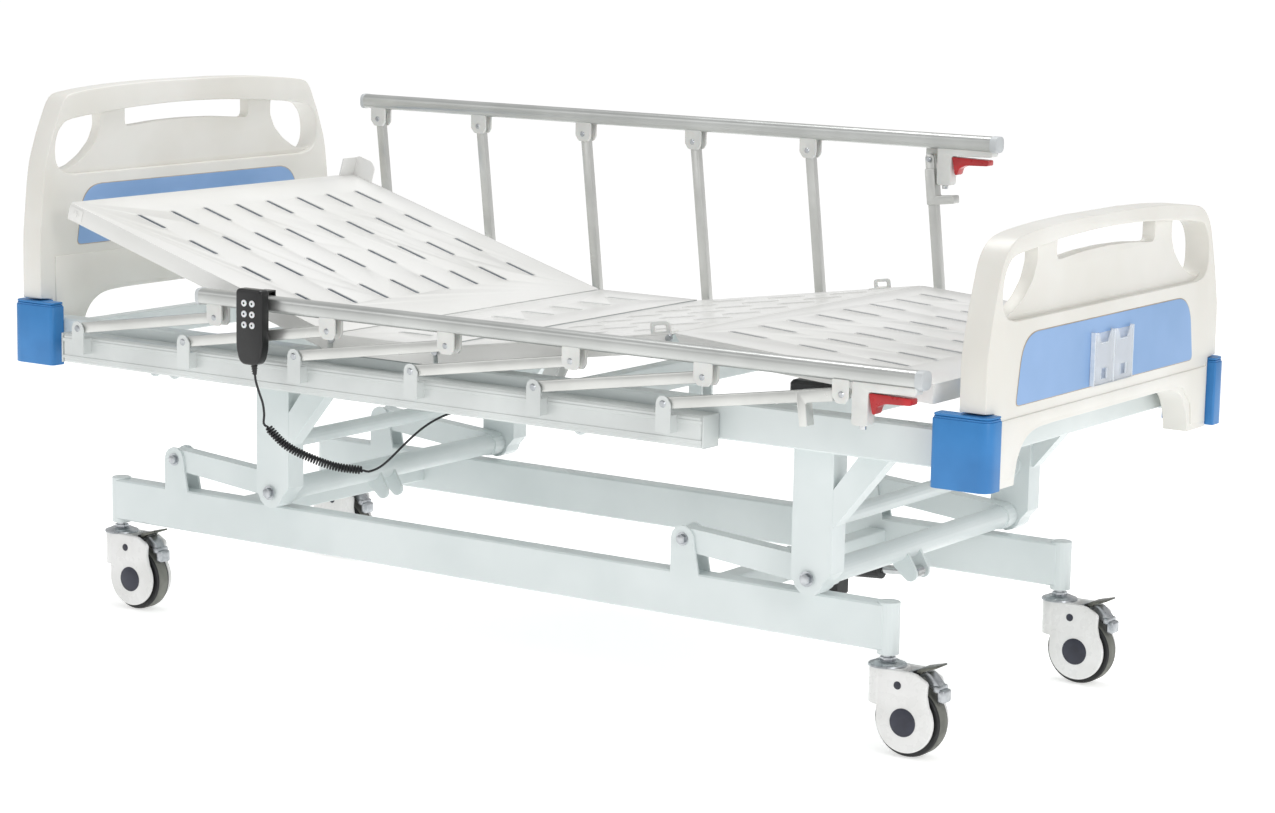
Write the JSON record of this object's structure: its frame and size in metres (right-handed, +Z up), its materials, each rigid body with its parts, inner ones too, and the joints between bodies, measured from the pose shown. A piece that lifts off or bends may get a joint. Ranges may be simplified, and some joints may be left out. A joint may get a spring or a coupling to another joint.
{
  "type": "adjustable hospital bed",
  "caption": "Height-adjustable hospital bed with a jointed slotted deck, moulded end boards, folding side rails, motors, a corded handset and braked castors.",
  "frame": {"origin": "on the floor under the middle of the bed", "axes": "+X along the bed towards the foot end, +Y towards the patient's left, +Z up"},
  "size_m": [2.162, 1.0212, 1.03],
  "materials": {
    "frame_paint": "pale grey powder coat on welded steel tube",
    "deck_paint": "glossy white powder coat on pressed steel sheet",
    "board_plastic": "cream moulded plastic with a fine texture",
    "bumper_plastic": "blue moulded plastic",
    "clear_plastic": "clear acrylic",
    "rail_aluminium": "silver anodised extrusion",
    "red_plastic": "red moulded plastic",
    "castor_cover": "cream moulded cover over a pressed fork",
    "tyre": "dark grey tread on a moulded hub",
    "pedal_plastic": "dark brake pedal",
    "actuator_plastic": "black moulded housing",
    "bright_steel": "bright steel rod",
    "handset_plastic": "black moulded plastic",
    "button_plastic": "white moulded plastic",
    "cord_rubber": "black coiled cable sheath"
  },
  "bodies": {
    "base": {"base_frame": "frame_paint"},
    "lift_arm_head": {"lift_arm_head": "frame_paint"},
    "lift_arm_foot": {"lift_arm_foot": "frame_paint"},
    "upper": {"upper_frame": "frame_paint", "headboard": "board_plastic", "footboard": "board_plastic", "card_holder": "clear_plastic", "bumper_head_right": "bumper_plastic", "bumper_head_left": "bumper_plastic", "bumper_foot_right": "bumper_plastic", "bumper_foot_left": "bumper_plastic", "rail_base_right": "rail_aluminium", "rail_base_left": "rail_aluminium", "back_actuator_housing": "actuator_plastic", "leg_actuator_housing": "actuator_plastic", "cord_coil": "cord_rubber", "cord_lower": "cord_rubber"},
    "back": {"back_panel": "deck_paint"},
    "thigh": {"thigh_panel": "deck_paint"},
    "calf": {"calf_panel": "deck_paint"},
    "lift_housing": {"lift_actuator_housing": "actuator_plastic"},
    "lift_rod": {"lift_actuator_rod": "bright_steel"},
    "back_rod": {"back_actuator_rod": "bright_steel"},
    "leg_rod": {"leg_actuator_rod": "bright_steel"},
    "rail_top_right": {"rail_top_right": "rail_aluminium", "handset": "handset_plastic", "cord_upper": "cord_rubber"},
    "rail_top_left": {"rail_top_left": "rail_aluminium"},
    "latch_right": {"latch_lever_right": "red_plastic"},
    "latch_left": {"latch_lever_left": "red_plastic"},
    "castor_head_right": {"castor_fork_head_right": "castor_cover"},
    "wheel_head_right": {"castor_wheel_head_right": "tyre"},
    "pedal_head_right": {"brake_pedal_head_right": "pedal_plastic"},
    "castor_head_left": {"castor_fork_head_left": "castor_cover"},
    "wheel_head_left": {"castor_wheel_head_left": "tyre"},
    "pedal_head_left": {"brake_pedal_head_left": "pedal_plastic"},
    "castor_foot_right": {"castor_fork_foot_right": "castor_cover"},
    "wheel_foot_right": {"castor_wheel_foot_right": "tyre"},
    "pedal_foot_right": {"brake_pedal_foot_right": "pedal_plastic"},
    "castor_foot_left": {"castor_fork_foot_left": "castor_cover"},
    "wheel_foot_left": {"castor_wheel_foot_left": "tyre"},
    "pedal_foot_left": {"brake_pedal_foot_left": "pedal_plastic"},
    "bar_right_1": {"rail_bar_right_1": "rail_aluminium"},
    "bar_right_2": {"rail_bar_right_2": "rail_aluminium"},
    "bar_right_3": {"rail_bar_right_3": "rail_aluminium"},
    "bar_right_4": {"rail_bar_right_4": "rail_aluminium"},
    "bar_right_5": {"rail_bar_right_5": "rail_aluminium"},
    "bar_right_6": {"rail_bar_right_6": "rail_aluminium"},
    "bar_left_1": {"rail_bar_left_1": "rail_aluminium"},
    "bar_left_2": {"rail_bar_left_2": "rail_aluminium"},
    "bar_left_3": {"rail_bar_left_3": "rail_aluminium"},
    "bar_left_4": {"rail_bar_left_4": "rail_aluminium"},
    "bar_left_5": {"rail_bar_left_5": "rail_aluminium"},
    "bar_left_6": {"rail_bar_left_6": "rail_aluminium"},
    "button_back_up": {"button_back_up": "button_plastic"},
    "button_back_down": {"button_back_down": "button_plastic"},
    "button_knees_up": {"button_knees_up": "button_plastic"},
    "button_knees_down": {"button_knees_down": "button_plastic"},
    "button_height_up": {"button_height_up": "button_plastic"},
    "button_height_down": {"button_height_down": "button_plastic"}
  },
  "joints": [
    {"name": "bed_lift", "type": "hinge", "parent": "base", "child": "lift_arm_head", "pos_m": [-0.763, 0, 0.315], "axis": [0, -1, 0], "range_deg": [0, 50]},
    {"name": "lift_arm_foot", "type": "hinge", "parent": "base", "child": "lift_arm_foot", "pos_m": [0.427, 0, 0.315], "axis": [0, -1, 0], "range_deg": [0, 50]},
    {"name": "bed_level", "type": "hinge", "parent": "lift_arm_head", "child": "upper", "pos_m": [-0.482, 0, 0.29], "axis": [0, -1, 0], "range_deg": [-50, 0]},
    {"name": "lift_actuator_tilt", "type": "hinge", "parent": "base", "child": "lift_housing", "pos_m": [0.5, -0.05, 0.235], "axis": [0, -1, 0], "range_deg": [0, 52]},
    {"name": "lift_rod_slide", "type": "slide", "parent": "lift_housing", "child": "lift_rod", "axis": [0.998, 0, 0.0637], "range_m": [0, 0.0906]},
    {"name": "back_tilt", "type": "hinge", "parent": "upper", "child": "back", "pos_m": [-0.29, 0, 0.617], "axis": [0, 1, 0], "range_deg": [-16.6, 50]},
    {"name": "back_rod_slide", "type": "slide", "parent": "upper", "child": "back_rod", "axis": [-1, 0, -0.0054], "range_m": [-0.0433, 0.1303]},
    {"name": "thigh_tilt", "type": "hinge", "parent": "upper", "child": "thigh", "pos_m": [-0.05, 0, 0.617], "axis": [0, -1, 0], "range_deg": [-8.3, 25]},
    {"name": "knee", "type": "hinge", "parent": "thigh", "child": "calf", "pos_m": [0.45961, 0, 0.69134], "axis": [0, -1, 0], "range_deg": [-37.4, 12.6]},
    {"name": "leg_rod_slide", "type": "slide", "parent": "upper", "child": "leg_rod", "axis": [0.9995, 0, 0.0331], "range_m": [-0.0202, 0.0606]},
    {"name": "rail_bar_right_1", "type": "hinge", "parent": "upper", "child": "bar_right_1", "pos_m": [-0.87, -0.48, 0.579], "axis": [0, -1, 0], "range_deg": [0, 88]},
    {"name": "rail_bar_right_2", "type": "hinge", "parent": "upper", "child": "bar_right_2", "pos_m": [-0.5996, -0.48, 0.579], "axis": [0, -1, 0], "range_deg": [0, 88]},
    {"name": "rail_fold_right", "type": "hinge", "parent": "upper", "child": "bar_right_3", "pos_m": [-0.3292, -0.48, 0.579], "axis": [0, -1, 0], "range_deg": [0, 88]},
    {"name": "rail_bar_right_4", "type": "hinge", "parent": "upper", "child": "bar_right_4", "pos_m": [-0.0588, -0.48, 0.579], "axis": [0, -1, 0], "range_deg": [0, 88]},
    {"name": "rail_bar_right_5", "type": "hinge", "parent": "upper", "child": "bar_right_5", "pos_m": [0.2116, -0.48, 0.579], "axis": [0, -1, 0], "range_deg": [0, 88]},
    {"name": "rail_bar_right_6", "type": "hinge", "parent": "upper", "child": "bar_right_6", "pos_m": [0.482, -0.48, 0.579], "axis": [0, -1, 0], "range_deg": [0, 88]},
    {"name": "rail_top_right", "type": "hinge", "parent": "bar_right_3", "child": "rail_top_right", "pos_m": [0.01974, -0.48, 0.6324], "axis": [0, -1, 0], "range_deg": [-88, 0]},
    {"name": "latch_right", "type": "hinge", "parent": "rail_top_right", "child": "latch_right", "pos_m": [0.88144, -0.48, 0.6398], "axis": [0, 1, 0], "range_deg": [0, 9], "stiffness_Nm_per_rad": 0.6, "springref_deg": -8.59},
    {"name": "rail_bar_left_1", "type": "hinge", "parent": "upper", "child": "bar_left_1", "pos_m": [-0.87, 0.48, 0.579], "axis": [0, -1, 0], "range_deg": [-88, 0]},
    {"name": "rail_bar_left_2", "type": "hinge", "parent": "upper", "child": "bar_left_2", "pos_m": [-0.5996, 0.48, 0.579], "axis": [0, -1, 0], "range_deg": [-88, 0]},
    {"name": "rail_fold_left", "type": "hinge", "parent": "upper", "child": "bar_left_3", "pos_m": [-0.3292, 0.48, 0.579], "axis": [0, -1, 0], "range_deg": [-88, 0]},
    {"name": "rail_bar_left_4", "type": "hinge", "parent": "upper", "child": "bar_left_4", "pos_m": [-0.0588, 0.48, 0.579], "axis": [0, -1, 0], "range_deg": [-88, 0]},
    {"name": "rail_bar_left_5", "type": "hinge", "parent": "upper", "child": "bar_left_5", "pos_m": [0.2116, 0.48, 0.579], "axis": [0, -1, 0], "range_deg": [-88, 0]},
    {"name": "rail_bar_left_6", "type": "hinge", "parent": "upper", "child": "bar_left_6", "pos_m": [0.482, 0.48, 0.579], "axis": [0, -1, 0], "range_deg": [-88, 0]},
    {"name": "rail_top_left", "type": "hinge", "parent": "bar_left_3", "child": "rail_top_left", "pos_m": [-0.36916, 0.48, 0.92973], "axis": [0, -1, 0], "range_deg": [0, 88]},
    {"name": "latch_left", "type": "hinge", "parent": "rail_top_left", "child": "latch_left", "pos_m": [0.49254, 0.48, 0.93713], "axis": [0, 1, 0], "range_deg": [0, 9], "stiffness_Nm_per_rad": 0.6, "springref_deg": -8.59},
    {"name": "castor_swivel_head_right", "type": "hinge", "parent": "base", "child": "castor_head_right", "pos_m": [-0.921, -0.319, 0.169], "axis": [0, 0, 1], "continuous": true},
    {"name": "castor_roll_head_right", "type": "hinge", "parent": "castor_head_right", "child": "wheel_head_right", "pos_m": [-0.872, -0.319, 0.0625], "axis": [0, 1, 0], "continuous": true},
    {"name": "brake_head_right", "type": "hinge", "parent": "castor_head_right", "child": "pedal_head_right", "pos_m": [-0.872, -0.319, 0.139], "axis": [0, 1, 0], "range_deg": [0, 8]},
    {"name": "castor_swivel_head_left", "type": "hinge", "parent": "base", "child": "castor_head_left", "pos_m": [-0.921, 0.319, 0.169], "axis": [0, 0, 1], "continuous": true},
    {"name": "castor_roll_head_left", "type": "hinge", "parent": "castor_head_left", "child": "wheel_head_left", "pos_m": [-0.872, 0.319, 0.0625], "axis": [0, 1, 0], "continuous": true},
    {"name": "brake_head_left", "type": "hinge", "parent": "castor_head_left", "child": "pedal_head_left", "pos_m": [-0.872, 0.319, 0.139], "axis": [0, 1, 0], "range_deg": [0, 8]},
    {"name": "castor_swivel_foot_right", "type": "hinge", "parent": "base", "child": "castor_foot_right", "pos_m": [0.834, -0.319, 0.169], "axis": [0, 0, 1], "continuous": true},
    {"name": "castor_roll_foot_right", "type": "hinge", "parent": "castor_foot_right", "child": "wheel_foot_right", "pos_m": [0.883, -0.319, 0.0625], "axis": [0, 1, 0], "continuous": true},
    {"name": "brake_foot_right", "type": "hinge", "parent": "castor_foot_right", "child": "pedal_foot_right", "pos_m": [0.883, -0.319, 0.139], "axis": [0, 1, 0], "range_deg": [0, 8]},
    {"name": "castor_swivel_foot_left", "type": "hinge", "parent": "base", "child": "castor_foot_left", "pos_m": [0.834, 0.319, 0.169], "axis": [0, 0, 1], "continuous": true},
    {"name": "castor_roll_foot_left", "type": "hinge", "parent": "castor_foot_left", "child": "wheel_foot_left", "pos_m": [0.883, 0.319, 0.0625], "axis": [0, 1, 0], "continuous": true},
    {"name": "brake_foot_left", "type": "hinge", "parent": "castor_foot_left", "child": "pedal_foot_left", "pos_m": [0.883, 0.319, 0.139], "axis": [0, 1, 0], "range_deg": [0, 8]},
    {"name": "press_back_up", "type": "slide", "parent": "rail_top_right", "child": "button_back_up", "axis": [0, 1, 0], "range_m": [0, 0.001], "stiffness_N_per_m": 400, "springref_m": -0.0003},
    {"name": "press_back_down", "type": "slide", "parent": "rail_top_right", "child": "button_back_down", "axis": [0, 1, 0], "range_m": [0, 0.001], "stiffness_N_per_m": 400, "springref_m": -0.0003},
    {"name": "press_knees_up", "type": "slide", "parent": "rail_top_right", "child": "button_knees_up", "axis": [0, 1, 0], "range_m": [0, 0.001], "stiffness_N_per_m": 400, "springref_m": -0.0003},
    {"name": "press_knees_down", "type": "slide", "parent": "rail_top_right", "child": "button_knees_down", "axis": [0, 1, 0], "range_m": [0, 0.001], "stiffness_N_per_m": 400, "springref_m": -0.0003},
    {"name": "press_height_up", "type": "slide", "parent": "rail_top_right", "child": "button_height_up", "axis": [0, 1, 0], "range_m": [0, 0.001], "stiffness_N_per_m": 400, "springref_m": -0.0003},
    {"name": "press_height_down", "type": "slide", "parent": "rail_top_right", "child": "button_height_down", "axis": [0, 1, 0], "range_m": [0, 0.001], "stiffness_N_per_m": 400, "springref_m": -0.0003}
  ],
  "couplings": [
    {"joint": "lift_arm_foot", "follows": "bed_lift", "ratio": 1},
    {"joint": "bed_level", "follows": "bed_lift", "ratio": -1},
    {"joint": "lift_actuator_tilt", "follows": "bed_lift", "ratio": 1.036},
    {"joint": "lift_rod_slide", "follows": "bed_lift", "m_per_rad": 0.1033},
    {"joint": "back_rod_slide", "follows": "back_tilt", "m_per_rad": 0.1492},
    {"joint": "knee", "follows": "thigh_tilt", "ratio": -1.482},
    {"joint": "leg_rod_slide", "follows": "thigh_tilt", "m_per_rad": 0.1381},
    {"joint": "rail_bar_right_1", "follows": "rail_fold_right", "ratio": 1},
    {"joint": "rail_bar_right_2", "follows": "rail_fold_right", "ratio": 1},
    {"joint": "rail_bar_right_4", "follows": "rail_fold_right", "ratio": 1},
    {"joint": "rail_bar_right_5", "follows": "rail_fold_right", "ratio": 1},
    {"joint": "rail_bar_right_6", "follows": "rail_fold_right", "ratio": 1},
    {"joint": "rail_top_right", "follows": "rail_fold_right", "ratio": -1},
    {"joint": "rail_bar_left_1", "follows": "rail_fold_left", "ratio": 1},
    {"joint": "rail_bar_left_2", "follows": "rail_fold_left", "ratio": 1},
    {"joint": "rail_bar_left_4", "follows": "rail_fold_left", "ratio": 1},
    {"joint": "rail_bar_left_5", "follows": "rail_fold_left", "ratio": 1},
    {"joint": "rail_bar_left_6", "follows": "rail_fold_left", "ratio": 1},
    {"joint": "rail_top_left", "follows": "rail_fold_left", "ratio": -1}
  ]
}
